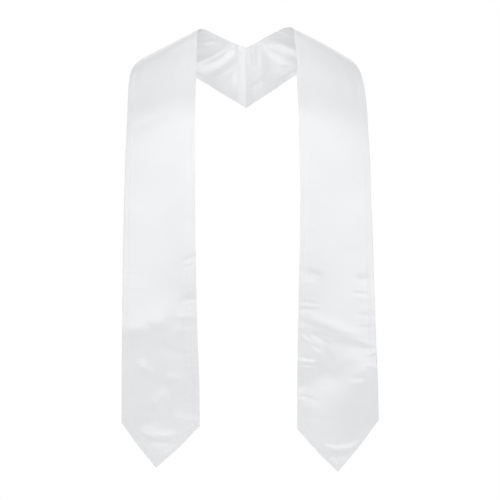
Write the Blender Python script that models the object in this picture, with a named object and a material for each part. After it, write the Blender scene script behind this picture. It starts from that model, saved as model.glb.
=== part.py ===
"""Clergy stole in its worn, hollow form: two lined strips that meet in a pointed centre back seam.

Each half runs from the centre back seam, up over the shoulder and down the front to a pointed end.
X runs across the shoulders, -Y is the front and +Z is up. The origin is midway between the two places
where the neck edges cross the shoulders. All sizes are in metres.
"""
from typing import NamedTuple

import bmesh
import bpy
import numpy as np

# Cloth
WALL = 0.0010
SEAM_GAP = 0.0003
FACE_TO_LINING = 0.0003
POINT_EDGE_BOW = 0.0020
COLUMNS = 10

# Zones of rows along a strip, with the spacing of the rows in each
BACK_NECK_END = 0.135
BACK_NECK_ROW = 0.0110
SHOULDER_END = 0.190
SHOULDER_ROW = 0.0080
CHEST_END = 0.380
CHEST_ROW = 0.0210
PANEL_END = 0.580
PANEL_ROW = 0.0285
LOWER_ROW = 0.0095
POINT_ROW = 0.0080

# Finish: white polyester satin, the lining a shade greyer
FACE_COLOUR = (0.86, 0.87, 0.90, 1.0)
LINING_COLOUR = (0.80, 0.81, 0.84, 1.0)
SATIN_ROUGHNESS = 0.42


class Section(NamedTuple):
    """A straight line across the strip, from its neck edge to its outer edge.

    x is counted out from the centre, and crown is how far the middle of the cloth stands over the line.
    """

    place: str
    neck: tuple
    outer: tuple
    crown: float


class Crease(NamedTuple):
    """A soft fold. along is its distance from the centre back seam, straight down in the pointed end.

    across is 0 at the neck edge and 1 at the outer edge. turn is the angle of its run in degrees, 0 for
    straight across the strip and positive for down towards the outer edge. A negative height is a trough
    in the face cloth.
    """

    along: float
    across: float
    length: float
    width: float
    turn: float
    height: float


class Half(NamedTuple):
    """One half of the stole: side is 1 for +X and -1 for -X, point is the tip of its end."""

    name: str
    side: int
    sections: tuple
    end_neck: tuple
    end_outer: tuple
    point: tuple
    creases: tuple


RIGHT_SECTIONS = (
    Section("centre back seam", (0.0000, 0.0520, -0.0270), (0.0000, 0.1060, -0.1285), 0.000),
    Section("back neck", (0.0180, 0.0450, -0.0185), (0.0460, 0.0880, -0.1000), 0.001),
    Section("back neck", (0.0360, 0.0330, -0.0095), (0.0900, 0.0660, -0.0725), 0.002),
    Section("behind the shoulder", (0.0520, 0.0200, -0.0025), (0.1280, 0.0440, -0.0565), 0.002),
    Section("behind the shoulder", (0.0660, 0.0090, 0.0025), (0.1570, 0.0215, -0.0500), 0.002),
    Section("shoulder crest", (0.0760, 0.0000, 0.0030), (0.1790, 0.0000, -0.0520), 0.002),
    Section("shoulder crest", (0.0815, -0.0090, -0.0005), (0.1905, -0.0130, -0.0630), 0.002),
    Section("front of shoulder", (0.0830, -0.0175, -0.0090), (0.1975, -0.0250, -0.0765), 0.002),
    Section("front of shoulder", (0.0845, -0.0280, -0.0240), (0.2020, -0.0380, -0.0940), 0.002),
    Section("upper chest", (0.0865, -0.0480, -0.0540), (0.2050, -0.0510, -0.1150), 0.003),
    Section("upper chest", (0.0875, -0.0700, -0.0980), (0.2070, -0.0660, -0.1460), 0.004),
    Section("chest", (0.0895, -0.0890, -0.1500), (0.2085, -0.0790, -0.1870), 0.004),
    Section("chest", (0.0905, -0.1000, -0.2100), (0.2105, -0.0880, -0.2300), 0.004),
    Section("panel", (0.0920, -0.1060, -0.2850), (0.2120, -0.0930, -0.2950), 0.003),
    Section("panel", (0.0910, -0.1080, -0.3700), (0.2150, -0.0960, -0.3750), 0.003),
    Section("panel", (0.0890, -0.1075, -0.4700), (0.2180, -0.0970, -0.4720), 0.002),
    Section("lower panel", (0.0875, -0.1050, -0.5450), (0.2205, -0.0965, -0.5450), 0.002),
    Section("lower panel", (0.0870, -0.1010, -0.6150), (0.2235, -0.0940, -0.6120), 0.001),
)

LEFT_SECTIONS = (
    Section("centre back seam", (0.0000, 0.0520, -0.0270), (0.0000, 0.1060, -0.1285), 0.000),
    Section("back neck", (0.0180, 0.0450, -0.0210), (0.0470, 0.0870, -0.1025), 0.001),
    Section("back neck", (0.0370, 0.0330, -0.0140), (0.0910, 0.0650, -0.0775), 0.002),
    Section("behind the shoulder", (0.0540, 0.0200, -0.0075), (0.1290, 0.0440, -0.0600), 0.002),
    Section("behind the shoulder", (0.0680, 0.0090, -0.0015), (0.1580, 0.0215, -0.0510), 0.001),
    Section("shoulder crest", (0.0780, 0.0000, 0.0000), (0.1800, 0.0000, -0.0520), 0.001),
    Section("shoulder crest", (0.0835, -0.0090, -0.0030), (0.1920, -0.0130, -0.0620), 0.001),
    Section("front of shoulder", (0.0845, -0.0175, -0.0110), (0.1990, -0.0250, -0.0750), 0.002),
    Section("front of shoulder", (0.0850, -0.0280, -0.0260), (0.2020, -0.0380, -0.0920), 0.002),
    Section("upper chest", (0.0855, -0.0480, -0.0560), (0.2030, -0.0510, -0.1150), 0.003),
    Section("upper chest", (0.0860, -0.0700, -0.1000), (0.2030, -0.0660, -0.1470), 0.004),
    Section("chest", (0.0870, -0.0890, -0.1520), (0.2035, -0.0790, -0.1890), 0.004),
    Section("chest", (0.0870, -0.1000, -0.2120), (0.2050, -0.0880, -0.2330), 0.004),
    Section("panel", (0.0860, -0.1060, -0.2850), (0.2065, -0.0930, -0.2970), 0.003),
    Section("panel", (0.0855, -0.1080, -0.3700), (0.2080, -0.0960, -0.3760), 0.003),
    Section("panel", (0.0835, -0.1075, -0.4700), (0.2095, -0.0970, -0.4730), 0.002),
    Section("lower panel", (0.0815, -0.1050, -0.5450), (0.2100, -0.0965, -0.5460), 0.002),
    Section("lower panel", (0.0790, -0.1010, -0.6120), (0.2110, -0.0940, -0.6130), 0.001),
)

RIGHT_CREASES = (
    Crease(0.031, 0.38, 0.085, 0.012, -14, -0.0024),
    Crease(0.104, 0.44, 0.080, 0.012, 20, 0.0022),
    Crease(0.600, 0.16, 0.034, 0.010, 10, -0.0009),
    Crease(0.603, 0.85, 0.030, 0.009, -12, -0.0008),
    Crease(0.686, 0.42, 0.100, 0.011, 20, 0.0024),
    Crease(0.712, 0.52, 0.090, 0.014, 20, -0.0008),
    Crease(0.745, 0.12, 0.034, 0.009, 4, 0.0012),
    Crease(0.774, 0.22, 0.070, 0.022, -30, -0.0044),
    Crease(0.808, 0.60, 0.165, 0.034, -52, 0.0056),
    Crease(0.894, 0.53, 0.060, 0.008, 0, 0.0018),
    Crease(0.907, 0.53, 0.046, 0.008, 0, -0.0014),
)

LEFT_CREASES = (
    Crease(0.029, 0.54, 0.120, 0.015, 24, 0.0030),
    Crease(0.074, 0.40, 0.090, 0.009, 20, 0.0012),
    Crease(0.110, 0.62, 0.060, 0.012, 42, -0.0016),
    Crease(0.575, 0.10, 0.034, 0.010, 6, -0.0006),
    Crease(0.640, 0.08, 0.030, 0.010, -6, -0.0009),
    Crease(0.664, 0.10, 0.030, 0.010, 4, 0.0008),
    Crease(0.677, 0.50, 0.125, 0.020, 8, 0.0017),
    Crease(0.757, 0.68, 0.034, 0.011, -40, 0.0012),
    Crease(0.773, 0.32, 0.034, 0.011, -14, 0.0011),
    Crease(0.811, 0.49, 0.040, 0.012, 60, 0.0012),
    Crease(0.868, 0.48, 0.056, 0.009, -6, 0.0014),
    Crease(0.882, 0.48, 0.048, 0.009, -6, -0.0010),
)

HALVES = (
    Half(
        "right", 1, RIGHT_SECTIONS,
        (0.0870, -0.0965, -0.6905), (0.2255, -0.0890, -0.6760), (0.1560, -0.0900, -0.7640), RIGHT_CREASES,
    ),
    Half(
        "left", -1, LEFT_SECTIONS,
        (0.0785, -0.0965, -0.6855), (0.2115, -0.0890, -0.6805), (0.1525, -0.0900, -0.7570), LEFT_CREASES,
    ),
)


def clear_scene():
    for item in list(bpy.data.objects):
        bpy.data.objects.remove(item, do_unlink=True)


def smooth_through(stations, points, at):
    """Reads a smooth curve through points, one at each station, at the distances in at."""
    slopes = np.gradient(points, stations, axis=0)
    span = np.clip(np.searchsorted(stations, at, side="right") - 1, 0, len(stations) - 2)
    gap = (stations[span + 1] - stations[span])[:, None]
    t = (at[:, None] - stations[span][:, None]) / gap
    start = (2 * t**3 - 3 * t**2 + 1) * points[span] + (t**3 - 2 * t**2 + t) * gap * slopes[span]
    finish = (3 * t**2 - 2 * t**3) * points[span + 1] + (t**3 - t**2) * gap * slopes[span + 1]
    return start + finish


def section_stations(necks, outers):
    """Distance of each section from the centre back seam, along the middle of the strip."""
    steps = np.linalg.norm(np.diff((necks + outers) / 2, axis=0), axis=1)
    return np.concatenate(([0.0], np.cumsum(steps)))


def row_stations(last_section, point_length):
    """Distances of the mesh rows from the centre back seam, closest where the cloth bends or creases."""
    zones = (
        (BACK_NECK_END, BACK_NECK_ROW),
        (SHOULDER_END, SHOULDER_ROW),
        (CHEST_END, CHEST_ROW),
        (PANEL_END, PANEL_ROW),
        (last_section, LOWER_ROW),
        (last_section + point_length, POINT_ROW),
    )
    rows = [0.0]
    for end, spacing in zones:
        count = max(1, round((end - rows[-1]) / spacing))
        rows.extend(np.linspace(rows[-1], end, count + 1)[1:])
    return np.array(rows)


def grid_normals(points):
    """Unit normals of a grid of points, out of the face side of the cloth."""
    along = np.gradient(points, axis=0)
    across = np.gradient(points, axis=1)
    normals = np.cross(along, across)
    return normals / np.linalg.norm(normals, axis=2, keepdims=True)


def crease_heights(creases, along, across, width):
    """Height of the cloth over its smooth form, summed over the creases."""
    height = np.zeros_like(along)
    for crease in creases:
        down = along - crease.along
        out = (across - crease.across) * width
        turn = np.radians(crease.turn)
        run = out * np.cos(turn) + down * np.sin(turn)
        off = down * np.cos(turn) - out * np.sin(turn)
        height += crease.height * np.exp(-((off / crease.width) ** 2) - (2 * run / crease.length) ** 4)
    return height


def pointed_end(half, across):
    """The lower edge of a half, from its neck corner to its point and back up to its outer corner."""
    corners = np.array([half.end_neck, half.point, half.end_outer])
    edge = np.stack([np.interp(across, (0.0, 0.5, 1.0), corners[:, axis]) for axis in range(3)], axis=1)
    edge[:, 2] -= POINT_EDGE_BOW * np.sin(2 * np.pi * across) ** 2
    return edge


def strip_grid(half):
    """Points and normals midway between face and lining, a row for each station along the half."""
    necks = np.array([section.neck for section in half.sections])
    outers = np.array([section.outer for section in half.sections])
    crowns = np.array([[section.crown] for section in half.sections])
    stations = section_stations(necks, outers)
    last = stations[-1]
    point_length = np.linalg.norm(np.array(half.point) - (necks[-1] + outers[-1]) / 2)
    rows = row_stations(last, point_length)
    across = np.linspace(0.0, 1.0, COLUMNS + 1)

    on_sections = np.minimum(rows, last)
    neck = smooth_through(stations, necks, on_sections)[:, None, :]
    outer = smooth_through(stations, outers, on_sections)[:, None, :]
    points = neck + (outer - neck) * across[None, :, None]
    reach = np.clip((rows - last) / point_length, 0.0, 1.0)[:, None]
    end = pointed_end(half, across)
    points += (end[None] - points) * reach[:, :, None]

    crown = smooth_through(stations, crowns, on_sections) * 4 * across * (1 - across)
    width = np.linalg.norm(outers[-1] - necks[-1])
    end_drop = np.linalg.norm(end - points[rows <= last][-1], axis=1)
    along = on_sections[:, None] + reach * end_drop
    rise = crown + crease_heights(half.creases, along, across, width)
    points += grid_normals(points) * rise[:, :, None]
    normals = grid_normals(points)
    normals[0, :, 0] = 0.0
    normals[0] /= np.linalg.norm(normals[0], axis=1, keepdims=True)
    points[0, :, 0] = SEAM_GAP / 2
    mirror = (half.side, 1, 1)
    return points * mirror, normals * mirror


def layer_mesh(name, points, normals, under, over, side):
    """A closed wall of cloth between two distances from the middle of the stole, along its normals."""
    mesh = bmesh.new()
    low, high = (
        [[mesh.verts.new(place) for place in row] for row in points + normals * distance]
        for distance in (under, over)
    )

    def quad(a, b, c, d):
        mesh.faces.new((a, b, c, d) if side > 0 else (d, c, b, a))

    last_row, last_column = len(low) - 1, len(low[0]) - 1
    for i in range(last_row):
        for j in range(last_column):
            quad(high[i][j], high[i + 1][j], high[i + 1][j + 1], high[i][j + 1])
            quad(low[i][j], low[i][j + 1], low[i + 1][j + 1], low[i + 1][j])
        quad(low[i][0], low[i + 1][0], high[i + 1][0], high[i][0])
        quad(high[i][last_column], high[i + 1][last_column], low[i + 1][last_column], low[i][last_column])
    for j in range(last_column):
        quad(low[0][j], high[0][j], high[0][j + 1], low[0][j + 1])
        quad(high[last_row][j], low[last_row][j], low[last_row][j + 1], high[last_row][j + 1])
    data = bpy.data.meshes.new(name)
    mesh.to_mesh(data)
    mesh.free()
    return data


def satin(name, colour):
    material = bpy.data.materials.new(name)
    material.use_nodes = True
    shader = material.node_tree.nodes["Principled BSDF"]
    shader.inputs["Base Color"].default_value = colour
    shader.inputs["Roughness"].default_value = SATIN_ROUGHNESS
    shader.inputs["Metallic"].default_value = 0.0
    return material


def add_layer(name, mesh, material, parent):
    mesh.materials.append(material)
    mesh.shade_smooth()
    layer = bpy.data.objects.new(name, mesh)
    layer.parent = parent
    bpy.context.scene.collection.objects.link(layer)


def build_stole():
    clear_scene()
    stole = bpy.data.objects.new("stole", None)
    bpy.context.scene.collection.objects.link(stole)
    face_satin = satin("white satin face", FACE_COLOUR)
    lining_satin = satin("white satin lining", LINING_COLOUR)
    near = FACE_TO_LINING / 2
    for half in HALVES:
        points, normals = strip_grid(half)
        face = layer_mesh(f"outer_{half.name}", points, normals, near, near + WALL, half.side)
        lining = layer_mesh(f"lining_{half.name}", points, normals, -near - WALL, -near, half.side)
        add_layer(f"outer_{half.name}", face, face_satin, stole)
        add_layer(f"lining_{half.name}", lining, lining_satin, stole)


build_stole()
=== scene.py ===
import math
from typing import NamedTuple

import bpy
import numpy as np
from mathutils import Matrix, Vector


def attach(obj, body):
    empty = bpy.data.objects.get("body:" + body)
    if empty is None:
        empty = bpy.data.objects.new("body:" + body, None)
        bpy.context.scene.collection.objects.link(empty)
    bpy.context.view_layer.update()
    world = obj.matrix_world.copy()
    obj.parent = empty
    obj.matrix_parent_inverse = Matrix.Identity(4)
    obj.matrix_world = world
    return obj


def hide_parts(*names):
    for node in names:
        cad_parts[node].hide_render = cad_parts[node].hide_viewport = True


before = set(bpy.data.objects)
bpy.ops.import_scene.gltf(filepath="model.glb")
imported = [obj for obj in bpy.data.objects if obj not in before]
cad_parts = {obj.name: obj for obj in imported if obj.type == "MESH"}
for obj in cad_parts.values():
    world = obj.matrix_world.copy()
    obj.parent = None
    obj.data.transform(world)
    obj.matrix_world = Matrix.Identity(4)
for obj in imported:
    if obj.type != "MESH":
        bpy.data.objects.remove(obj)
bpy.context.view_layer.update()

# Clergy stole of plain white satin in its worn form. Two lined strips are joined in a pointed centre back
# seam. Each runs from that seam, up over the shoulder and down the front to a pointed end, with a row of
# topstitching all round. X runs across the shoulders, -Y is the front and +Z is up. Sizes are in metres.

# Cloth. Heights are counted from the middle of the stole, where face cloth and lining lie together. The
# edges round over within EDGE_ROUND, and at the centre back seam the cloth sinks by a share of its height.
CLOTH_INSIDE = 0.00010
CLOTH_OUTSIDE = 0.00050
CLOTH_THINNEST = 0.0001
EDGE_OUTSIDE = 0.00016
EDGE_ROUND = 0.0013
SEAM_ROUND = 0.0010
SEAM_SINK = 0.45
SEAM_HALF_GAP = 0.00005
POINT_EDGE_BOW = 0.0020

# Seam allowances, which are turned in along every edge and show as a slightly raised band
ALLOWANCE = 0.0100
ALLOWANCE_STEP = 0.0016
ALLOWANCE_RISE = 0.00026

# Centre back seam. Its allowances lift the cloth towards it like a low roof, with a hollow beside them.
# Those of the lining are both pressed to -X, and those of the face cloth are pressed open.
BACK_ALLOWANCE = 0.0135
BACK_ALLOWANCE_RISE = 0.00034
SEAM_ROOF = 0.0020
SEAM_HOLLOW = 0.0007
SEAM_HOLLOW_WIDTH = 0.0032

# Topstitching
TOPSTITCH_IN = 0.0090
STITCH_SPACING = 0.0031
STITCH_LENGTH = 0.0026
STITCH_RISE = 0.00022
STITCH_WANDER = 0.06
STITCH_STEPS = 4
THREAD_DIAMETER = 0.00034
THREAD_SIDES = 5
STITCH_GROOVE = 0.00020
STITCH_GROOVE_WIDTH = 0.0006

# Puckers that the topstitching draws up along the edges. PUCKERS_ALONG pairs distances down the strip with
# how strong they are there.
PUCKER_HEIGHT = 0.00030
PUCKER_SPACING = (0.007, 0.034)
PUCKER_WIDTH = (0.0026, 0.0050)
PUCKER_REACH = 0.007
PUCKERS_ALONG = ((0.00, 0.8), (0.20, 0.4), (0.42, 0.35), (0.56, 1.0), (0.95, 1.0))

# Places of the mesh columns, in from either edge, and of the rows. The rows are closer together in the lower
# part, where the folds are, and run parallel to the pointed edge beside it.
EDGE_COLUMNS = (
    0.0, 0.0002, 0.0005, 0.0010, 0.0018, 0.0030, 0.0045, 0.0060, 0.0073,
    0.0081, 0.0086, TOPSTITCH_IN, 0.0095, 0.0101, 0.0108, 0.0118, 0.0135,
)
MIDDLE_COLUMNS = 41
SEAM_ROWS = (0.0, 0.0003, 0.0007, 0.0014, 0.0025)
UPPER_END = 0.560
UPPER_ROW = 0.0026
LOWER_ROW = 0.0017
POINT_ROW_REACH = 0.038
POINT_CURVE_STEPS = 400
FAR = 1.0


class Section(NamedTuple):
    """A straight line across the strip, from its neck edge to its outer edge.

    x is counted out from the centre, and crown is how far the middle of the cloth stands over the line.
    """

    place: str
    neck: tuple
    outer: tuple
    crown: float


class Crease(NamedTuple):
    """A soft fold. along is its distance from the centre back seam.

    across is 0 at the neck edge and 1 at the outer edge. turn is the angle of its run in degrees: 0 straight
    across the strip, and positive down towards the outer edge. A negative height is a trough in the face
    cloth, which is a ridge in the lining.
    """

    along: float
    across: float
    length: float
    width: float
    turn: float
    height: float


class Half(NamedTuple):
    """One half of the stole: side is 1 for +X and -1 for -X.

    end_neck and end_outer are the lower corners of its two edges, and point is the tip of its end.
    """

    name: str
    side: int
    sections: tuple
    end_neck: tuple
    end_outer: tuple
    point: tuple
    creases: tuple
    seed: int


class Strip(NamedTuple):
    """A grid of points over the middle of a half, and where each of them lies.

    along is the distance from the centre back seam down the strip, and across the place between the edges
    from 0 to 1. from_neck, from_outer and from_end are distances square to those edges, from_seam is how far
    a point is from the centre plane, and across_cloth how far from the neck edge, straight across.
    """

    points: np.ndarray
    normals: np.ndarray
    along: np.ndarray
    across: np.ndarray
    from_neck: np.ndarray
    from_outer: np.ndarray
    from_end: np.ndarray
    from_seam: np.ndarray
    across_cloth: np.ndarray


RIGHT_SECTIONS = (
    Section("centre back seam", (0.0000, 0.0520, -0.0270), (0.0000, 0.1060, -0.1285), 0.000),
    Section("back neck", (0.0180, 0.0450, -0.0185), (0.0460, 0.0880, -0.1000), 0.001),
    Section("back neck", (0.0360, 0.0330, -0.0095), (0.0900, 0.0660, -0.0725), 0.002),
    Section("behind the shoulder", (0.0520, 0.0200, -0.0025), (0.1280, 0.0440, -0.0565), 0.002),
    Section("behind the shoulder", (0.0660, 0.0090, 0.0025), (0.1570, 0.0215, -0.0500), 0.002),
    Section("shoulder crest", (0.0760, 0.0000, 0.0030), (0.1790, 0.0000, -0.0520), 0.002),
    Section("shoulder crest", (0.0815, -0.0090, -0.0005), (0.1905, -0.0130, -0.0630), 0.002),
    Section("front of shoulder", (0.0830, -0.0175, -0.0090), (0.1975, -0.0250, -0.0765), 0.002),
    Section("front of shoulder", (0.0845, -0.0280, -0.0240), (0.2020, -0.0380, -0.0940), 0.002),
    Section("upper chest", (0.0865, -0.0480, -0.0540), (0.2050, -0.0510, -0.1150), 0.003),
    Section("upper chest", (0.0875, -0.0700, -0.0980), (0.2070, -0.0660, -0.1460), 0.004),
    Section("chest", (0.0895, -0.0890, -0.1500), (0.2085, -0.0790, -0.1870), 0.004),
    Section("chest", (0.0905, -0.1000, -0.2100), (0.2105, -0.0880, -0.2300), 0.004),
    Section("panel", (0.0920, -0.1060, -0.2850), (0.2120, -0.0930, -0.2950), 0.003),
    Section("panel", (0.0910, -0.1080, -0.3700), (0.2150, -0.0960, -0.3750), 0.003),
    Section("panel", (0.0890, -0.1075, -0.4700), (0.2180, -0.0970, -0.4720), 0.002),
    Section("lower panel", (0.0875, -0.1050, -0.5450), (0.2205, -0.0965, -0.5450), 0.002),
    Section("lower panel", (0.0870, -0.1010, -0.6150), (0.2235, -0.0940, -0.6120), 0.001),
)

LEFT_SECTIONS = (
    Section("centre back seam", (0.0000, 0.0520, -0.0270), (0.0000, 0.1060, -0.1285), 0.000),
    Section("back neck", (0.0180, 0.0450, -0.0210), (0.0470, 0.0870, -0.1025), 0.001),
    Section("back neck", (0.0370, 0.0330, -0.0140), (0.0910, 0.0650, -0.0775), 0.002),
    Section("behind the shoulder", (0.0540, 0.0200, -0.0075), (0.1290, 0.0440, -0.0600), 0.002),
    Section("behind the shoulder", (0.0680, 0.0090, -0.0015), (0.1580, 0.0215, -0.0510), 0.001),
    Section("shoulder crest", (0.0780, 0.0000, 0.0000), (0.1800, 0.0000, -0.0520), 0.001),
    Section("shoulder crest", (0.0835, -0.0090, -0.0030), (0.1920, -0.0130, -0.0620), 0.001),
    Section("front of shoulder", (0.0845, -0.0175, -0.0110), (0.1990, -0.0250, -0.0750), 0.002),
    Section("front of shoulder", (0.0850, -0.0280, -0.0260), (0.2020, -0.0380, -0.0920), 0.002),
    Section("upper chest", (0.0855, -0.0480, -0.0560), (0.2030, -0.0510, -0.1150), 0.003),
    Section("upper chest", (0.0860, -0.0700, -0.1000), (0.2030, -0.0660, -0.1470), 0.004),
    Section("chest", (0.0870, -0.0890, -0.1520), (0.2035, -0.0790, -0.1890), 0.004),
    Section("chest", (0.0870, -0.1000, -0.2120), (0.2050, -0.0880, -0.2330), 0.004),
    Section("panel", (0.0860, -0.1060, -0.2850), (0.2065, -0.0930, -0.2970), 0.003),
    Section("panel", (0.0855, -0.1080, -0.3700), (0.2080, -0.0960, -0.3760), 0.003),
    Section("panel", (0.0835, -0.1075, -0.4700), (0.2095, -0.0970, -0.4730), 0.002),
    Section("lower panel", (0.0815, -0.1050, -0.5450), (0.2100, -0.0965, -0.5460), 0.002),
    Section("lower panel", (0.0790, -0.1010, -0.6120), (0.2110, -0.0940, -0.6130), 0.001),
)

# The largest folds come first, as the solids have them, then the finer ones down the strip
RIGHT_CREASES = (
    Crease(0.031, 0.38, 0.085, 0.012, -14, -0.0024),
    Crease(0.104, 0.44, 0.080, 0.012, 20, 0.0022),
    Crease(0.600, 0.16, 0.034, 0.010, 10, -0.0009),
    Crease(0.603, 0.85, 0.030, 0.009, -12, -0.0008),
    Crease(0.686, 0.42, 0.100, 0.011, 20, 0.0024),
    Crease(0.712, 0.52, 0.090, 0.014, 20, -0.0008),
    Crease(0.745, 0.12, 0.034, 0.009, 4, 0.0012),
    Crease(0.774, 0.22, 0.070, 0.022, -30, -0.0044),
    Crease(0.808, 0.60, 0.165, 0.034, -52, 0.0056),
    Crease(0.894, 0.53, 0.060, 0.008, 0, 0.0018),
    Crease(0.907, 0.53, 0.046, 0.008, 0, -0.0014),
    # back neck, seen from inside between the fronts
    Crease(0.014, 0.26, 0.045, 0.0032, 13, -0.0012),
    Crease(0.018, 0.70, 0.030, 0.0070, 90, 0.0008),
    Crease(0.022, 0.30, 0.040, 0.0036, 6, 0.0009),
    Crease(0.028, 0.70, 0.040, 0.0050, 4, -0.0016),
    Crease(0.040, 0.44, 0.070, 0.0060, -12, -0.0011),
    Crease(0.074, 0.30, 0.030, 0.0040, 30, -0.0005),
    Crease(0.074, 0.80, 0.044, 0.0060, 40, -0.0006),
    Crease(0.102, 0.16, 0.040, 0.0045, 40, -0.0008),
    Crease(0.118, 0.20, 0.040, 0.0060, 30, -0.0010),
    Crease(0.120, 0.06, 0.018, 0.0028, 30, -0.0006),
    Crease(0.128, 0.10, 0.016, 0.0026, 50, 0.0005),
    # over the shoulder
    Crease(0.165, 0.62, 0.090, 0.010, 74, 0.0003),
    Crease(0.205, 0.30, 0.060, 0.010, 66, -0.0002),
    Crease(0.250, 0.76, 0.090, 0.010, 80, 0.0004),
    # panel
    Crease(0.350, 0.30, 0.060, 0.014, 20, 0.0005),
    Crease(0.470, 0.55, 0.080, 0.016, -14, -0.0006),
    Crease(0.540, 0.72, 0.050, 0.012, 12, 0.0005),
    Crease(0.598, 0.23, 0.022, 0.0040, 18, -0.0005),
    Crease(0.604, 0.88, 0.018, 0.0036, -14, -0.0004),
    Crease(0.629, 0.81, 0.026, 0.0030, 2, -0.0004),
    Crease(0.634, 0.81, 0.024, 0.0030, 2, 0.0003),
    Crease(0.645, 0.12, 0.030, 0.0030, 8, -0.0006),
    Crease(0.651, 0.15, 0.034, 0.0030, 4, 0.0005),
    Crease(0.657, 0.10, 0.026, 0.0028, -2, -0.0005),
    # main fold and the finer one under it
    Crease(0.689, 0.14, 0.036, 0.0036, 22, 0.0009),
    Crease(0.698, 0.40, 0.060, 0.0040, 18, 0.0008),
    Crease(0.707, 0.68, 0.064, 0.0044, 15, 0.0007),
    Crease(0.692, 0.10, 0.026, 0.0030, 26, 0.0010),
    Crease(0.702, 0.24, 0.050, 0.0036, 32, -0.0010),
    Crease(0.709, 0.13, 0.030, 0.0030, 30, 0.0009),
    Crease(0.716, 0.20, 0.030, 0.0030, 40, -0.0008),
    # under the fold
    Crease(0.730, 0.36, 0.050, 0.0080, 64, -0.0012),
    Crease(0.732, 0.93, 0.020, 0.0030, -18, 0.0008),
    Crease(0.738, 0.10, 0.026, 0.0030, 8, -0.0009),
    Crease(0.744, 0.58, 0.060, 0.0100, -40, 0.0010),
    Crease(0.745, 0.13, 0.030, 0.0028, 4, 0.0011),
    Crease(0.750, 0.10, 0.024, 0.0024, 0, -0.0009),
    Crease(0.754, 0.14, 0.032, 0.0026, 2, 0.0010),
    Crease(0.754, 0.94, 0.020, 0.0030, 10, 0.0008),
    Crease(0.774, 0.76, 0.024, 0.0050, 4, -0.0006),
    Crease(0.782, 0.70, 0.026, 0.0050, -16, 0.0004),
    Crease(0.806, 0.14, 0.030, 0.0040, 20, -0.0008),
    Crease(0.820, 0.80, 0.034, 0.0050, 20, 0.0006),
    Crease(0.842, 0.30, 0.050, 0.0060, 6, -0.0006),
    # crescent over the point
    Crease(0.889, 0.38, 0.026, 0.0036, 20, 0.0009),
    Crease(0.889, 0.68, 0.026, 0.0036, -20, 0.0009),
    Crease(0.895, 0.53, 0.034, 0.0036, 0, 0.0011),
    Crease(0.903, 0.53, 0.040, 0.0034, 0, -0.0008),
)

LEFT_CREASES = (
    Crease(0.029, 0.54, 0.120, 0.015, 24, 0.0030),
    Crease(0.074, 0.40, 0.090, 0.009, 20, 0.0012),
    Crease(0.110, 0.62, 0.060, 0.012, 42, -0.0016),
    Crease(0.575, 0.10, 0.034, 0.010, 6, -0.0006),
    Crease(0.640, 0.08, 0.030, 0.010, -6, -0.0009),
    Crease(0.664, 0.10, 0.030, 0.010, 4, 0.0008),
    Crease(0.677, 0.50, 0.125, 0.020, 8, 0.0017),
    Crease(0.757, 0.68, 0.034, 0.011, -40, 0.0012),
    Crease(0.773, 0.32, 0.034, 0.011, -14, 0.0011),
    Crease(0.811, 0.49, 0.040, 0.012, 60, 0.0012),
    Crease(0.868, 0.48, 0.056, 0.009, -6, 0.0014),
    Crease(0.882, 0.48, 0.048, 0.009, -6, -0.0010),
    # back neck, seen from inside between the fronts
    Crease(0.024, 0.60, 0.060, 0.0070, 8, 0.0009),
    Crease(0.034, 0.84, 0.040, 0.0060, 30, -0.0007),
    Crease(0.039, 0.58, 0.085, 0.0090, 22, 0.0012),
    Crease(0.054, 0.20, 0.040, 0.0040, 26, -0.0004),
    Crease(0.065, 0.30, 0.060, 0.0060, 20, 0.0007),
    Crease(0.109, 0.24, 0.050, 0.0060, 36, 0.0010),
    Crease(0.120, 0.12, 0.040, 0.0050, 30, 0.0007),
    Crease(0.126, 0.10, 0.020, 0.0030, 40, 0.0005),
    # over the shoulder
    Crease(0.170, 0.50, 0.080, 0.008, 68, -0.0005),
    Crease(0.210, 0.80, 0.060, 0.008, 78, 0.0004),
    Crease(0.245, 0.25, 0.070, 0.009, 72, 0.0004),
    # panel
    Crease(0.330, 0.60, 0.080, 0.015, 10, -0.0005),
    Crease(0.420, 0.30, 0.070, 0.015, -16, 0.0005),
    Crease(0.500, 0.64, 0.080, 0.016, 14, 0.0005),
    Crease(0.571, 0.10, 0.026, 0.0034, 22, -0.0004),
    Crease(0.578, 0.08, 0.024, 0.0032, 14, 0.0004),
    Crease(0.584, 0.12, 0.020, 0.0030, 8, -0.0003),
    Crease(0.639, 0.09, 0.022, 0.0032, 0, -0.0006),
    Crease(0.646, 0.12, 0.026, 0.0034, 6, 0.0005),
    Crease(0.661, 0.09, 0.022, 0.0032, -6, -0.0005),
    Crease(0.668, 0.14, 0.030, 0.0036, -4, 0.0005),
    # fold across the panel and what hangs under it
    Crease(0.668, 0.46, 0.070, 0.0140, 62, 0.0006),
    Crease(0.676, 0.22, 0.044, 0.0110, -10, -0.0005),
    Crease(0.686, 0.60, 0.036, 0.0100, -30, -0.0006),
    Crease(0.688, 0.82, 0.040, 0.0110, 6, 0.0007),
    Crease(0.696, 0.28, 0.050, 0.0120, 32, 0.0008),
    Crease(0.724, 0.36, 0.050, 0.0080, -24, -0.0006),
    Crease(0.755, 0.69, 0.024, 0.0070, -46, 0.0002),
    Crease(0.770, 0.33, 0.024, 0.0060, -18, 0.0003),
    Crease(0.807, 0.50, 0.026, 0.0060, 62, 0.0003),
    Crease(0.844, 0.14, 0.050, 0.0100, -14, 0.0013),
    Crease(0.846, 0.60, 0.050, 0.0060, 16, -0.0005),
    # crescent over the point
    Crease(0.868, 0.36, 0.026, 0.0040, 8, 0.0007),
    Crease(0.870, 0.62, 0.026, 0.0040, -18, 0.0008),
    Crease(0.872, 0.48, 0.034, 0.0040, -4, 0.0010),
    Crease(0.880, 0.48, 0.040, 0.0036, -4, -0.0009),
)

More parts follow.
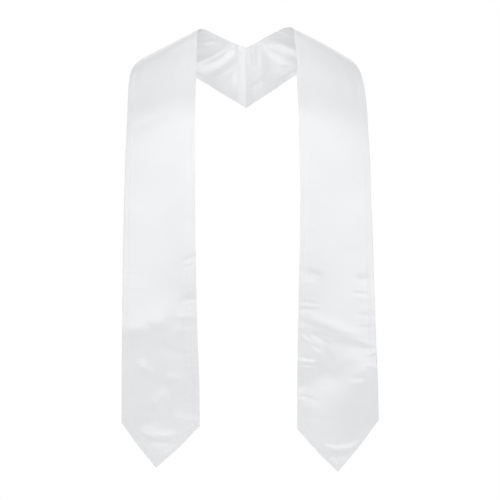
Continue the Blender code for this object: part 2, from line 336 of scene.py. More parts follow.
HALVES = (
    Half(
        name="right",
        side=1,
        sections=RIGHT_SECTIONS,
        end_neck=(0.0870, -0.0965, -0.6905),
        end_outer=(0.2255, -0.0890, -0.6760),
        point=(0.1560, -0.0900, -0.7640),
        creases=RIGHT_CREASES,
        seed=11,
    ),
    Half(
        name="left",
        side=-1,
        sections=LEFT_SECTIONS,
        end_neck=(0.0785, -0.0965, -0.6855),
        end_outer=(0.2115, -0.0890, -0.6805),
        point=(0.1525, -0.0900, -0.7570),
        creases=LEFT_CREASES,
        seed=23,
    ),
)


# Form of a strip

def smooth_through(stations, points, at):
    """Reads a smooth curve through points, one at each station, at the distances in at."""
    slopes = np.gradient(points, stations, axis=0)
    span = np.clip(np.searchsorted(stations, at, side="right") - 1, 0, len(stations) - 2)
    gap = (stations[span + 1] - stations[span])[:, None]
    t = (at[:, None] - stations[span][:, None]) / gap
    start = (2 * t**3 - 3 * t**2 + 1) * points[span] + (t**3 - 2 * t**2 + t) * gap * slopes[span]
    finish = (3 * t**2 - 2 * t**3) * points[span + 1] + (t**3 - t**2) * gap * slopes[span + 1]
    return start + finish


def smooth_step(value, start, end):
    """0 at start and 1 at end, with a soft rise between."""
    t = np.clip((value - start) / (end - start), 0.0, 1.0)
    return t * t * (3 - 2 * t)


def unit(vectors):
    """The same vectors, each of length 1."""
    return vectors / np.linalg.norm(vectors, axis=-1, keepdims=True)


def grid_normals(points):
    """Unit normals of a grid of points, out of the face side of the cloth."""
    return unit(np.cross(np.gradient(points, axis=0), np.gradient(points, axis=1)))


def slant(edge, ruling):
    """How much farther a point is from an edge along the ruling than square to the edge."""
    return 1 / np.linalg.norm(np.cross(unit(edge), unit(ruling)), axis=-1)


def crease_heights(creases, along, across, width):
    """Height of the cloth over its smooth form, summed over the creases."""
    height = np.zeros_like(along)
    for crease in creases:
        down = along - crease.along
        out = (across - crease.across) * width
        turn = np.radians(crease.turn)
        run = out * np.cos(turn) + down * np.sin(turn)
        off = down * np.cos(turn) - out * np.sin(turn)
        height += crease.height * np.exp(-((off / crease.width) ** 2) - (2 * run / crease.length) ** 4)
    return height


def pointed_end(half, across):
    """The lower edge of a half, from its neck corner to its point and back up to its outer corner."""
    corners = np.array([half.end_neck, half.point, half.end_outer])
    edge = np.stack([np.interp(across, (0.0, 0.5, 1.0), corners[:, axis]) for axis in range(3)], axis=1)
    edge[:, 2] -= POINT_EDGE_BOW * np.sin(2 * np.pi * across) ** 2
    return edge


def across_places(width, neck_slant, outer_slant):
    """Places of the mesh columns across each row, from 0 to 1, close together along the two edges."""
    offsets = np.array(EDGE_COLUMNS)
    neck_side = offsets * (neck_slant / width)[:, None]
    outer_side = 1 - offsets[::-1] * (outer_slant / width)[:, None]
    steps = np.linspace(0, 1, MIDDLE_COLUMNS + 2)[1:-1]
    middle = neck_side[:, -1:] + (outer_side[:, :1] - neck_side[:, -1:]) * steps
    return np.hstack([neck_side, middle, outer_side])


def end_slant(end, ruling):
    """Slant of the pointed edge against the columns, worked out for each side of the point."""
    middle = len(end) // 2
    neck_side = slant(np.gradient(end[:middle + 1], axis=0), ruling[:middle + 1])
    outer_side = slant(np.gradient(end[middle:], axis=0), ruling[middle:])
    tip = (neck_side[-1] + outer_side[0]) / 2
    return np.concatenate([neck_side[:-1], [tip], outer_side[1:]])


def point_rows(heights, slants):
    """Heights of the rows over the pointed edge: parallel to it at first, and straight across at the top."""
    share = np.linspace(0, 1, POINT_CURVE_STEPS)[:, None]
    rise = share * POINT_ROW_REACH * slants
    rise = rise + (heights - POINT_ROW_REACH * slants) * share**4
    tip = heights.argmax()
    beside_edge = np.array(EDGE_COLUMNS) / POINT_ROW_REACH
    start = np.interp(beside_edge[-1], share[:, 0], rise[:, tip])
    count = round((heights[tip] - start) / LOWER_ROW)
    higher = np.interp(np.linspace(start, heights[tip], count + 1)[1:], rise[:, tip], share[:, 0])
    shares = np.concatenate([beside_edge, higher])
    return np.stack([np.interp(shares, share[:, 0], column) for column in rise.T], axis=1)[::-1]


def make_strip(half):
    """The smooth form of a half with its creases, from the centre back seam down to its pointed end."""
    necks = np.array([section.neck for section in half.sections])
    outers = np.array([section.outer for section in half.sections])
    crowns = np.array([[section.crown] for section in half.sections])
    steps = np.linalg.norm(np.diff((necks + outers) / 2, axis=0), axis=1)
    stations = np.concatenate(([0.0], np.cumsum(steps)))
    last = stations[-1]

    # rows and columns down to the last section
    upper = np.linspace(SEAM_ROWS[-1], UPPER_END, round((UPPER_END - SEAM_ROWS[-1]) / UPPER_ROW) + 1)
    lower = np.linspace(UPPER_END, last, round((last - UPPER_END) / LOWER_ROW) + 1)
    rows = np.concatenate([SEAM_ROWS, upper[1:], lower[1:]])
    neck = smooth_through(stations, necks, rows)
    outer = smooth_through(stations, outers, rows)
    ruling = outer - neck
    width = np.linalg.norm(ruling, axis=1)
    neck_slant = slant(np.gradient(neck, rows, axis=0), ruling)
    outer_slant = slant(np.gradient(outer, rows, axis=0), ruling)
    across = across_places(width, neck_slant, outer_slant)
    points = neck[:, None] + ruling[:, None] * across[:, :, None]
    crown = smooth_through(stations, crowns, rows)

    # pointed end, hung from the last section
    base = points[-1]
    end = pointed_end(half, across[-1])
    heights = np.linalg.norm(base - end, axis=1)
    slants = end_slant(end, base - end)
    rises = point_rows(heights, slants)[1:]
    end_points = end + (base - end) * (rises / heights)[:, :, None]
    points = np.vstack([points, end_points])
    repeat = ((0, len(rises)), (0, 0))
    across = np.pad(across, repeat, mode="edge")
    crown = np.pad(crown, repeat, mode="edge")

    # where each point lies
    along = np.vstack([np.repeat(rows[:, None], across.shape[1], axis=1), last + heights - rises])
    width = np.pad(width, (0, len(rises)), mode="edge")[:, None]
    neck_slant = np.pad(neck_slant, (0, len(rises)), mode="edge")[:, None]
    outer_slant = np.pad(outer_slant, (0, len(rises)), mode="edge")[:, None]
    from_end = np.vstack([np.full((len(rows), across.shape[1]), FAR), rises / slants])
    from_seam = points[:, :, 0].copy()

    # crown and creases
    end_width = np.linalg.norm(outers[-1] - necks[-1])
    rise = crown * 4 * across * (1 - across) + crease_heights(half.creases, along, across, end_width)
    points = points + grid_normals(points) * rise[:, :, None]
    normals = grid_normals(points)

    # both halves end flat against each other at the centre plane
    normals[0, :, 0] = 0.0
    normals[0] = unit(normals[0])
    points[0, :, 0] = SEAM_HALF_GAP
    mirror = (half.side, 1, 1)
    return Strip(
        points=points * mirror,
        normals=normals * mirror,
        along=along,
        across=across,
        from_neck=across * width / neck_slant,
        from_outer=(1 - across) * width / outer_slant,
        from_end=from_end,
        from_seam=from_seam,
        across_cloth=across * width,
    )


# Cloth of one layer

def puckers(place, length, generator):
    """Uneven ripples along a stitched edge, between -1 and 1."""
    ripple = np.zeros_like(place)
    at = generator.uniform(*PUCKER_SPACING)
    while at < length:
        pull = generator.uniform(-1, 1)
        width = generator.uniform(*PUCKER_WIDTH)
        ripple += pull * np.exp(-(((place - at) / width) ** 2))
        at += generator.uniform(*PUCKER_SPACING)
    return ripple


def pucker_reach(distance):
    """How strongly a pucker shows: held flat on the stitching, free on both sides of it."""
    outside = np.sin(np.pi * np.clip(distance / TOPSTITCH_IN, 0, 1))
    inside = np.clip((distance - TOPSTITCH_IN) / PUCKER_REACH, 0, None)
    return outside + inside * np.exp(1 - inside)


def over_back_allowance(strip):
    """1 where the allowance of the centre back seam lies under the cloth, 0 elsewhere."""
    return 1 - smooth_step(strip.from_seam, BACK_ALLOWANCE - ALLOWANCE_STEP, BACK_ALLOWANCE + ALLOWANCE_STEP)


def rounded(distance, radius):
    """A quarter circle, from 0 at an edge to 1 at the radius in from it."""
    return np.sqrt(1 - (1 - np.clip(distance / radius, 0, 1)) ** 2)


def outside_height(strip, generator, back_allowance):
    """Height of a layer's outer side over the middle of the stole."""
    edge = np.minimum(np.minimum(strip.from_neck, strip.from_outer), strip.from_end)
    height = CLOTH_OUTSIDE + ALLOWANCE_RISE * (1 - smooth_step(edge, ALLOWANCE, ALLOWANCE + ALLOWANCE_STEP))
    height += back_allowance * over_back_allowance(strip)
    height += SEAM_ROOF * np.clip(1 - strip.from_seam / BACK_ALLOWANCE, 0, 1)
    height -= SEAM_HOLLOW * np.exp(-(((strip.from_seam - BACK_ALLOWANCE) / SEAM_HOLLOW_WIDTH) ** 2))
    height -= STITCH_GROOVE * np.exp(-(((edge - TOPSTITCH_IN) / STITCH_GROOVE_WIDTH) ** 2))

    length = strip.along.max()
    gathered = np.interp(strip.along, *zip(*PUCKERS_ALONG))
    for distance in (strip.from_neck, strip.from_outer):
        ripple = puckers(strip.along, length, generator)
        height += PUCKER_HEIGHT * gathered * ripple * pucker_reach(distance)
    ripple = puckers(strip.across_cloth, strip.across_cloth.max(), generator)
    height += PUCKER_HEIGHT * ripple * pucker_reach(strip.from_end)

    height = np.maximum(height, CLOTH_INSIDE + CLOTH_THINNEST)
    height = EDGE_OUTSIDE + (height - EDGE_OUTSIDE) * rounded(edge, EDGE_ROUND)
    return height * (1 - SEAM_SINK * (1 - rounded(strip.from_seam, SEAM_ROUND)))


def quads(indices, flip):
    """Quads over a grid of vertex numbers, wound one way or the other."""
    corners = (indices[:-1, :-1], indices[1:, :-1], indices[1:, 1:], indices[:-1, 1:])
    if flip:
        corners = corners[::-1]
    return np.stack([corner.ravel() for corner in corners], axis=1)


def layer_object(name, strip, low, high, doubled_and_highlight, side, material):
    """A closed shell of cloth between two heights over the middle of the stole.

    The whiteness share is 1 over pressed allowances, where the colour is painted whiter: partly doubled
    cloth, partly a painted highlight.
    """
    rows, columns = strip.along.shape
    upper = strip.points + strip.normals * high[:, :, None]
    lower = strip.points + strip.normals * low[:, :, None]
    top = np.arange(rows * columns).reshape(rows, columns)
    bottom = top + rows * columns
    rim = np.concatenate([top[:, 0], top[-1, 1:], top[-2::-1, -1], top[0, -2:0:-1]])
    rim = np.append(rim, rim[0])
    sides = np.stack([rim + rows * columns, rim])
    inside_out = side < 0
    faces = np.vstack([
        quads(top, inside_out), quads(bottom, not inside_out), quads(sides, inside_out),
    ])
    mesh = bpy.data.meshes.new(name)
    mesh.from_pydata(np.vstack([upper.reshape(-1, 3), lower.reshape(-1, 3)]).tolist(), [], faces.tolist())
    mesh.update()

    # the map is in metres: across the strip from its neck edge, and along it from the centre back seam
    flat = np.stack([strip.across_cloth, strip.along], axis=2).reshape(-1, 2)
    corner_vertices = np.empty(len(mesh.loops), dtype=np.int64)
    mesh.loops.foreach_get("vertex_index", corner_vertices)
    uv = mesh.uv_layers.new(name="cloth")
    uv.data.foreach_set("uv", np.vstack([flat, flat])[corner_vertices].ravel())
    # marks where the cloth is painted whiter over the back seam allowances: partly doubled cloth, partly a
    # painted highlight
    whiter_and_highlight = mesh.attributes.new("allowance band and painted highlight", "FLOAT", "POINT")
    whiter_and_highlight.data.foreach_set("value", np.concatenate([doubled_and_highlight.ravel(), doubled_and_highlight.ravel()]))
    mesh.shade_smooth()
    mesh.materials.append(material)
    made = bpy.data.objects.new(name, mesh)
    bpy.context.scene.collection.objects.link(made)
    return made


# Nodes

def add_node(tree, kind, inputs=(), **settings):
    """Adds a node. inputs pairs a socket's name or number with a value, or with the output that feeds it."""
    made = tree.nodes.new(kind)
    for name, value in settings.items():
        setattr(made, name, value)
    for socket, value in dict(inputs).items():
        if isinstance(value, bpy.types.NodeSocket):
            tree.links.new(value, made.inputs[socket])
        else:
            made.inputs[socket].default_value = value
    return made


def linear(hex_colour):
    """Linear colour of an sRGB hex value."""
    channels = [int(hex_colour[i:i + 2], 16) / 255 for i in (1, 3, 5)]
    return tuple(c / 12.92 if c <= 0.04045 else ((c + 0.055) / 1.055) ** 2.4 for c in channels) + (1.0,)


# Real satin has about 60 warp threads a centimetre. They are drawn 0.5 mm apart so that they show close by.
# Each float begins with a dip: FLOAT_DIP_LENGTH is its share of the float, and FLOAT_DIP_DEPTH its share of
# WARP_HEIGHT.
WARP_PITCH = 0.0005
WARP_HEIGHT = 0.00002
FLOAT_LENGTH = 0.0040
FLOAT_STEP = 0.375
FLOAT_DIP_LENGTH = 0.16
FLOAT_DIP_DEPTH = 0.5

# Uneven thread, 1.1 mm wide and 55 mm long, in repeats a metre, and how far it changes tone and gloss
SLUB_SCALE = (900.0, 18.0, 1.0)
SLUB_TONE = 0.06
SLUB_GLOSS = 0.008

# Cockle of pressed cloth, 17 mm wide, and faint patches of tone, 110 mm wide, in repeats a metre
COCKLE_SCALE = 60.0
COCKLE_HEIGHT = 0.0006
TONE_SCALE = 9.0
TONE_RANGE = (0.33, 0.80)


def weave_height(tree, flat):
    """Warp threads side by side, each with a dip where it comes up from under a weft thread."""
    place = add_node(tree, "ShaderNodeSeparateXYZ", {0: flat})
    thread = add_node(
        tree, "ShaderNodeMath", {0: place.outputs["X"], 1: 1 / WARP_PITCH}, operation="MULTIPLY",
    )
    number = add_node(tree, "ShaderNodeMath", {0: thread.outputs[0]}, operation="FLOOR")
    in_thread = add_node(tree, "ShaderNodeMath", {0: thread.outputs[0]}, operation="FRACT")
    ridge = add_node(tree, "ShaderNodeMath", {0: in_thread.outputs[0], 1: 0.5}, operation="SUBTRACT")
    ridge = add_node(
        tree, "ShaderNodeMath", {0: ridge.outputs[0], 1: ridge.outputs[0]}, operation="MULTIPLY",
    )
    shift = add_node(tree, "ShaderNodeMath", {0: number.outputs[0], 1: FLOAT_STEP}, operation="MULTIPLY")
    floats = add_node(
        tree, "ShaderNodeMath",
        {0: place.outputs["Y"], 1: 1 / FLOAT_LENGTH, 2: shift.outputs[0]}, operation="MULTIPLY_ADD",
    )
    in_float = add_node(tree, "ShaderNodeMath", {0: floats.outputs[0]}, operation="FRACT")
    dip = add_node(
        tree, "ShaderNodeMapRange",
        {
            "Value": in_float.outputs[0], "From Min": 0.0, "From Max": FLOAT_DIP_LENGTH,
            "To Min": FLOAT_DIP_DEPTH, "To Max": 0.0,
        },
        interpolation_type="SMOOTHSTEP",
    )
    top = add_node(
        tree, "ShaderNodeMath", {0: ridge.outputs[0], 1: -2.0, 2: 1.0}, operation="MULTIPLY_ADD",
    )
    return add_node(tree, "ShaderNodeMath", {0: top.outputs[0], 1: dip.outputs[0]}, operation="SUBTRACT")


def woven_satin(name, light, shade, whiter_and_highlight, roughness):
    """Woven polyester satin.

    Its long floats of bright warp thread make the gloss soft and draw it out along the strip. It is painted
    whiter where pressed allowances lie doubled under it: partly the doubled cloth, partly a painted
    highlight.
    """
    material = bpy.data.materials.new(name)
    material.use_nodes = True
    tree = material.node_tree
    shader = tree.nodes["Principled BSDF"]
    flat = add_node(tree, "ShaderNodeUVMap", uv_map="cloth").outputs["UV"]
    weave = weave_height(tree, flat)

    # uneven thread, drawn out along the warp, and the faint cockle of pressed cloth
    streaks = add_node(tree, "ShaderNodeMapping", {"Vector": flat, "Scale": SLUB_SCALE})
    slub = add_node(
        tree, "ShaderNodeTexNoise",
        {"Vector": streaks.outputs[0], "Scale": 1.0, "Detail": 2.0, "Roughness": 0.5},
    )
    cockle = add_node(
        tree, "ShaderNodeTexNoise",
        {"Vector": flat, "Scale": COCKLE_SCALE, "Detail": 3.0, "Roughness": 0.45},
    )
    cockled = add_node(
        tree, "ShaderNodeBump",
        {"Height": cockle.outputs["Fac"], "Strength": 0.35, "Distance": COCKLE_HEIGHT},
    )
    woven = add_node(
        tree, "ShaderNodeBump",
        {
            "Height": weave.outputs[0], "Strength": 0.5, "Distance": WARP_HEIGHT,
            "Normal": cockled.outputs[0],
        },
    )

    # faint tone, and cloth painted whiter over the back seam allowances: partly doubled cloth, partly a
    # painted highlight
    patches = add_node(
        tree, "ShaderNodeTexNoise",
        {"Vector": flat, "Scale": TONE_SCALE, "Detail": 2.0, "Roughness": 0.5},
    )
    tone = add_node(
        tree, "ShaderNodeMath",
        {0: slub.outputs["Fac"], 1: SLUB_TONE, 2: patches.outputs["Fac"]}, operation="MULTIPLY_ADD",
    )
    tone = add_node(
        tree, "ShaderNodeMapRange",
        {"Value": tone.outputs[0], "From Min": TONE_RANGE[0], "From Max": TONE_RANGE[1]},
    )
    colour = add_node(
        tree, "ShaderNodeMix",
        {"Factor": tone.outputs[0], "A": linear(shade), "B": linear(light)}, data_type="RGBA",
    )
    doubled_and_highlight = add_node(tree, "ShaderNodeAttribute", attribute_name="allowance band and painted highlight")
    colour = add_node(
        tree, "ShaderNodeMix",
        {"Factor": doubled_and_highlight.outputs["Fac"], "A": colour.outputs["Result"], "B": linear(whiter_and_highlight)},
        data_type="RGBA",
    )
    gloss = add_node(
        tree, "ShaderNodeMapRange",
        {
            "Value": slub.outputs["Fac"],
            "To Min": roughness - SLUB_GLOSS, "To Max": roughness + SLUB_GLOSS,
        },
    )
    grain = add_node(tree, "ShaderNodeTangent", direction_type="UV_MAP", uv_map="cloth")

    # drawn polyester has an IOR of about 1.7 along its fibres, which lie along the floats
    shader.inputs["IOR"].default_value = 1.70
    shader.inputs["Anisotropic"].default_value = 0.6
    shader.inputs["Sheen Weight"].default_value = 0.10
    shader.inputs["Sheen Roughness"].default_value = 0.4
    tree.links.new(colour.outputs["Result"], shader.inputs["Base Color"])
    tree.links.new(gloss.outputs["Result"], shader.inputs["Roughness"])
    tree.links.new(woven.outputs["Normal"], shader.inputs["Normal"])
    tree.links.new(grain.outputs["Tangent"], shader.inputs["Tangent"])
    return material


# Makes a wave 0.35 mm long, the width of one ply
PLY_SCALE = 900.0
PLY_HEIGHT = 0.00004


def twisted_thread(name, colour):
    """Spun polyester sewing thread: two plies twisted together, duller than the satin it holds."""
    material = bpy.data.materials.new(name)
    material.use_nodes = True
    tree = material.node_tree
    shader = tree.nodes["Principled BSDF"]
    place = add_node(tree, "ShaderNodeTexCoord").outputs["Object"]
    plies = add_node(
        tree, "ShaderNodeTexWave",
        {"Vector": place, "Scale": PLY_SCALE, "Distortion": 1.5, "Detail": 1.0},
        wave_type="BANDS", bands_direction="DIAGONAL",
    )
    twist = add_node(
        tree, "ShaderNodeBump",
        {"Height": plies.outputs["Fac"], "Strength": 0.5, "Distance": PLY_HEIGHT},
    )
    shader.inputs["Base Color"].default_value = linear(colour)
    shader.inputs["Roughness"].default_value = 0.55
    shader.inputs["IOR"].default_value = 1.55
    tree.links.new(twist.outputs["Normal"], shader.inputs["Normal"])
    return material


# Topstitching

def stitch_tree():
    """Lays a stitch at even spacing along a line on the cloth, on the side that its normals point to."""
    tree = bpy.data.node_groups.new("topstitch", "GeometryNodeTree")
    sockets = tree.interface
    sockets.new_socket("Line", in_out="INPUT", socket_type="NodeSocketGeometry")
    for name in ("Spacing", "Length", "Rise", "Diameter"):
        sockets.new_socket(name, in_out="INPUT", socket_type="NodeSocketFloat")
    sockets.new_socket("Seed", in_out="INPUT", socket_type="NodeSocketInt")
    sockets.new_socket("Thread", in_out="INPUT", socket_type="NodeSocketMaterial")
    sockets.new_socket("Stitches", in_out="OUTPUT", socket_type="NodeSocketGeometry")
    given = add_node(tree, "NodeGroupInput").outputs

    # one stitch: a thread that leaves the cloth, arches over it and goes in again
    back = add_node(tree, "ShaderNodeMath", {0: given["Length"], 1: -0.5}, operation="MULTIPLY")
    ahead = add_node(tree, "ShaderNodeMath", {0: given["Length"], 1: 0.5}, operation="MULTIPLY")
    top = add_node(tree, "ShaderNodeMath", {0: given["Rise"], 1: 2.0}, operation="MULTIPLY")
    start = add_node(tree, "ShaderNodeCombineXYZ", {"X": back.outputs[0]})
    middle = add_node(tree, "ShaderNodeCombineXYZ", {"Z": top.outputs[0]})
    finish = add_node(tree, "ShaderNodeCombineXYZ", {"X": ahead.outputs[0]})
    arc = add_node(
        tree, "GeometryNodeCurveQuadraticBezier",
        {
            "Resolution": STITCH_STEPS,
            "Start": start.outputs[0], "Middle": middle.outputs[0], "End": finish.outputs[0],
        },
    )
    radius = add_node(tree, "ShaderNodeMath", {0: given["Diameter"], 1: 0.5}, operation="MULTIPLY")
    section = add_node(
        tree, "GeometryNodeCurvePrimitiveCircle",
        {"Resolution": THREAD_SIDES, "Radius": radius.outputs[0]},
    )
    stitch = add_node(
        tree, "GeometryNodeCurveToMesh",
        {"Curve": arc.outputs[0], "Profile Curve": section.outputs[0], "Fill Caps": True},
    )

    # the row: a stitch at each point of the line, along it and square to the cloth, each turned a little
    line = add_node(tree, "GeometryNodeMeshToCurve", {"Mesh": given["Line"]})
    spaced = add_node(
        tree, "GeometryNodeResampleCurve",
        {"Curve": line.outputs[0], "Length": given["Spacing"]}, mode="LENGTH",
    )
    run = add_node(tree, "GeometryNodeInputTangent")
    outward = add_node(
        tree, "GeometryNodeInputNamedAttribute", {"Name": "outward"}, data_type="FLOAT_VECTOR",
    )
    wander = add_node(
        tree, "FunctionNodeRandomValue",
        {"Min": (-STITCH_WANDER,) * 3, "Max": (STITCH_WANDER,) * 3, "Seed": given["Seed"]},
        data_type="FLOAT_VECTOR",
    )
    uneven = add_node(
        tree, "ShaderNodeVectorMath", {0: run.outputs[0], 1: wander.outputs[0]}, operation="ADD",
    )
    turned = add_node(
        tree, "FunctionNodeAlignRotationToVector", {"Vector": uneven.outputs[0]}, axis="X",
    )
    turned = add_node(
        tree, "FunctionNodeAlignRotationToVector",
        {"Rotation": turned.outputs[0], "Vector": outward.outputs[0]}, axis="Z", pivot_axis="X",
    )
    row = add_node(
        tree, "GeometryNodeInstanceOnPoints",
        {"Points": spaced.outputs[0], "Instance": stitch.outputs[0], "Rotation": turned.outputs[0]},
    )
    realized = add_node(tree, "GeometryNodeRealizeInstances", {"Geometry": row.outputs[0]})
    finished = add_node(
        tree, "GeometryNodeSetMaterial", {"Geometry": realized.outputs[0], "Material": given["Thread"]},
    )
    add_node(tree, "NodeGroupOutput", {"Stitches": finished.outputs[0]})
    return tree


def stitch_line(strip, surface, outward):
    """The line of the topstitching: down the neck edge, round the point and up the outer edge."""
    inner = EDGE_COLUMNS.index(TOPSTITCH_IN)
    rows, columns = strip.along.shape
    low = rows - 1 - inner
    far = columns - 1 - inner
    places = [(row, inner) for row in range(1, low)]
    places += [(low, column) for column in range(inner, far)]
    places += [(row, far) for row in range(low, 0, -1)]
    index = tuple(np.array(places).T)
    return surface[index], outward[index]


def topstitch(name, strip, height, facing, tree, thread, seed):
    """A plain mesh of the topstitching on one layer."""
    surface = strip.points + strip.normals * height[:, :, None]
    line, outward = stitch_line(strip, surface, strip.normals * facing)
    mesh = bpy.data.meshes.new(name)
    mesh.from_pydata(line.tolist(), [(i, i + 1) for i in range(len(line) - 1)], [])
    mesh.attributes.new("outward", "FLOAT_VECTOR", "POINT").data.foreach_set("vector", outward.ravel())
    guide = bpy.data.objects.new(f"{name}_line", mesh)
    bpy.context.scene.collection.objects.link(guide)

    sewing = guide.modifiers.new("topstitch", "NODES")
    sewing.node_group = tree
    sockets = {item.name: item.identifier for item in tree.interface.items_tree if item.in_out == "INPUT"}
    values = {
        "Spacing": STITCH_SPACING, "Length": STITCH_LENGTH, "Rise": STITCH_RISE,
        "Diameter": THREAD_DIAMETER, "Seed": seed, "Thread": thread,
    }
    for label, value in values.items():
        sewing[sockets[label]] = value
    evaluated = guide.evaluated_get(bpy.context.evaluated_depsgraph_get())
    sewn = bpy.data.meshes.new_from_object(evaluated)
    sewn.name = name
    guide.modifiers.remove(sewing)
    bpy.data.objects.remove(guide, do_unlink=True)
    sewn.shade_smooth()
    made = bpy.data.objects.new(name, sewn)
    bpy.context.scene.collection.objects.link(made)
    return made


# The stole

def make_stole():
    """The four pieces of cloth with their topstitching, each in the place of its solid."""
    # the third colour of each satin is painted whiter over the back seam allowances: partly doubled cloth,
    # partly a painted highlight
    face_satin = woven_satin("white woven polyester satin, face", "#EFF0F2", "#EAEBED", "#F3F4F5", 0.28)
    lining_satin = woven_satin("white woven polyester satin, lining", "#ECEDEF", "#E7E8EA", "#F2F3F4", 0.30)
    thread = twisted_thread("white spun polyester thread", "#F2F3F5")
    tree = stitch_tree()
    for half in HALVES:
        strip = make_strip(half)
        inside = np.full(strip.along.shape, CLOTH_INSIDE)
        pressed_here = half.side < 0
        face_height = outside_height(strip, np.random.default_rng(half.seed), BACK_ALLOWANCE_RISE / 2)
        lining_height = outside_height(
            strip, np.random.default_rng(half.seed + 1), BACK_ALLOWANCE_RISE * pressed_here,
        )
        # where the colour is painted whiter over the centre back seam allowances: partly doubled cloth,
        # partly a painted highlight
        doubled_and_highlight = over_back_allowance(strip)
        face = layer_object(
            f"face_{half.name}", strip, inside, face_height, doubled_and_highlight / 2, half.side, face_satin,
        )
        face_stitches = topstitch(
            f"topstitch_face_{half.name}", strip, face_height, 1, tree, thread, half.seed,
        )
        lining = layer_object(
            f"lining_cloth_{half.name}", strip, -lining_height, -inside,
            doubled_and_highlight * pressed_here, half.side, lining_satin,
        )
        lining_stitches = topstitch(
            f"topstitch_lining_{half.name}", strip, -lining_height, -1, tree, thread, half.seed + 1,
        )
        for cloth, stitches, node, slot in (
            (face, face_stitches, f"outer_{half.name}", "face_satin"),
            (lining, lining_stitches, f"lining_{half.name}", "lining_satin"),
        ):
            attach(cloth, "root")
            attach(stitches, "root")
            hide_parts(node)


# Studio

CAMERA_PLACE = (0.00676, -2.905, -0.387)
CAMERA_LENS = 119.3

# The floor is where a standing wearer's feet would be, and fades out between two distances from its middle
FLOOR_HEIGHT = -1.45
FLOOR_RADIUS = 3.4
FLOOR_CORNERS = 96
FLOOR_FADE = (1.0, 2.8)

# How bright the white surround looks, and how much light it gives
SURROUND_SEEN = 1.0
SURROUND_SHED = 0.42

# Name, place, width, height and watts of each softbox. The upper part of the stole mirrors the two in front.
SOFTBOX_AIM = (0.0, -0.05, -0.35)
SOFTBOXES = (
    ("left softbox", (-1.2, -2.8, 0.5), 1.6, 2.7, 27.0),
    ("right softbox", (1.2, -2.8, 0.5), 1.6, 2.7, 27.0),
    ("top softbox", (0.0, -0.8, 2.2), 2.4, 1.2, 9.0),
    ("back softbox", (0.0, 2.0, 2.0), 3.0, 2.0, 16.0),
    ("left back softbox", (-2.1, 2.4, 0.3), 1.4, 1.8, 22.0),
    ("right back softbox", (2.1, 2.4, 0.3), 1.4, 1.8, 22.0),
)

# Name, place, aim, cone in degrees, size and watts of the lamps that shine up between the fronts, on to the
# lining inside the back neck
NECK_LIGHTS = (
    ("left neck light", (-0.40, -0.8, -1.35), (0.062, 0.01, -0.040), 7.5, 0.09, 14.5),
    ("right neck light", (0.42, -0.8, -1.35), (-0.064, 0.01, -0.040), 7.5, 0.09, 16.5),
    ("low neck light", (-0.10, -1.8, -1.2), (0.0, 0.06, -0.11), 5.0, 0.08, 26.5),
)


def add_floor():
    """A plain pale disc that fades out towards its rim."""
    mesh = bpy.data.meshes.new("floor")
    turn = np.linspace(0, 2 * np.pi, FLOOR_CORNERS, endpoint=False)
    height = np.full(FLOOR_CORNERS, FLOOR_HEIGHT)
    rim = np.stack([np.cos(turn) * FLOOR_RADIUS, np.sin(turn) * FLOOR_RADIUS, height], axis=1)
    mesh.from_pydata(rim.tolist(), [], [list(range(FLOOR_CORNERS))])
    material = bpy.data.materials.new("matt white studio floor")
    material.use_nodes = True
    tree = material.node_tree
    shader = tree.nodes["Principled BSDF"]
    shader.inputs["Base Color"].default_value = linear("#F4F4F4")
    shader.inputs["Roughness"].default_value = 0.9
    place = add_node(tree, "ShaderNodeTexCoord").outputs["Object"]
    flat = add_node(tree, "ShaderNodeVectorMath", {0: place, 1: (1.0, 1.0, 0.0)}, operation="MULTIPLY")
    radius = add_node(tree, "ShaderNodeVectorMath", {0: flat.outputs[0]}, operation="LENGTH")
    fade = add_node(
        tree, "ShaderNodeMapRange",
        {"Value": radius.outputs["Value"], "From Min": FLOOR_FADE[0], "From Max": FLOOR_FADE[1]},
        interpolation_type="SMOOTHSTEP",
    )
    clear = add_node(tree, "ShaderNodeBsdfTransparent")
    mixed = add_node(
        tree, "ShaderNodeMixShader", {0: fade.outputs[0], 1: shader.outputs[0], 2: clear.outputs[0]},
    )
    tree.links.new(mixed.outputs[0], tree.nodes["Material Output"].inputs["Surface"])
    mesh.materials.append(material)
    floor = bpy.data.objects.new("floor", mesh)
    bpy.context.scene.collection.objects.link(floor)


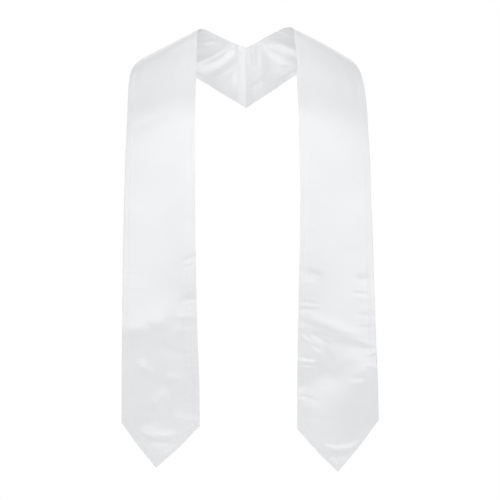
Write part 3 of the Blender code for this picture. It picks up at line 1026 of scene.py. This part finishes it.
def place_light(name, light, place, aim):
    """Puts a light in its place, shining at its aim."""
    lamp = bpy.data.objects.new(name, light)
    bpy.context.scene.collection.objects.link(lamp)
    direction = Vector(aim) - Vector(place)
    lamp.rotation_euler = direction.to_track_quat("-Z", "Y").to_euler()
    lamp.location = place


def add_softbox(name, place, width, height, watts):
    """An even panel of light, aimed at the middle of the stole."""
    light = bpy.data.lights.new(name, "AREA")
    light.shape = "RECTANGLE"
    light.size = width
    light.size_y = height
    light.energy = watts
    place_light(name, light, place, SOFTBOX_AIM)


def add_spot(name, place, aim, degrees, size, watts):
    """A round lamp whose light fades out evenly towards the edge of its cone."""
    light = bpy.data.lights.new(name, "SPOT")
    light.spot_size = math.radians(degrees)
    light.spot_blend = 1.0
    light.shadow_soft_size = size
    light.energy = watts
    place_light(name, light, place, aim)


def add_world():
    """An even white surround."""
    world = bpy.data.worlds.new("white surround")
    bpy.context.scene.world = world
    world.use_nodes = True
    tree = world.node_tree
    tree.nodes.clear()
    looked_at = add_node(tree, "ShaderNodeLightPath").outputs["Is Camera Ray"]
    strength = add_node(
        tree, "ShaderNodeMapRange",
        {"Value": looked_at, "To Min": SURROUND_SHED, "To Max": SURROUND_SEEN},
    )
    white = add_node(
        tree, "ShaderNodeBackground", {"Color": (1.0, 1.0, 1.0, 1.0), "Strength": strength.outputs[0]},
    )
    add_node(tree, "ShaderNodeOutputWorld", {"Surface": white.outputs[0]})


def add_camera():
    """Looks straight ahead, level with the middle of the stole."""
    camera = bpy.data.objects.new("camera", bpy.data.cameras.new("camera"))
    bpy.context.scene.collection.objects.link(camera)
    camera.data.lens = CAMERA_LENS
    camera.data.clip_end = 50.0
    camera.location = CAMERA_PLACE
    camera.rotation_euler = (np.pi / 2, 0.0, 0.0)
    bpy.context.scene.camera = camera


def make_studio():
    """Floor, surround, lights and camera."""
    bpy.context.scene.view_settings.view_transform = "Standard"
    add_floor()
    add_world()
    for softbox in SOFTBOXES:
        add_softbox(*softbox)
    for lamp in NECK_LIGHTS:
        add_spot(*lamp)
    add_camera()


make_stole()
make_studio()
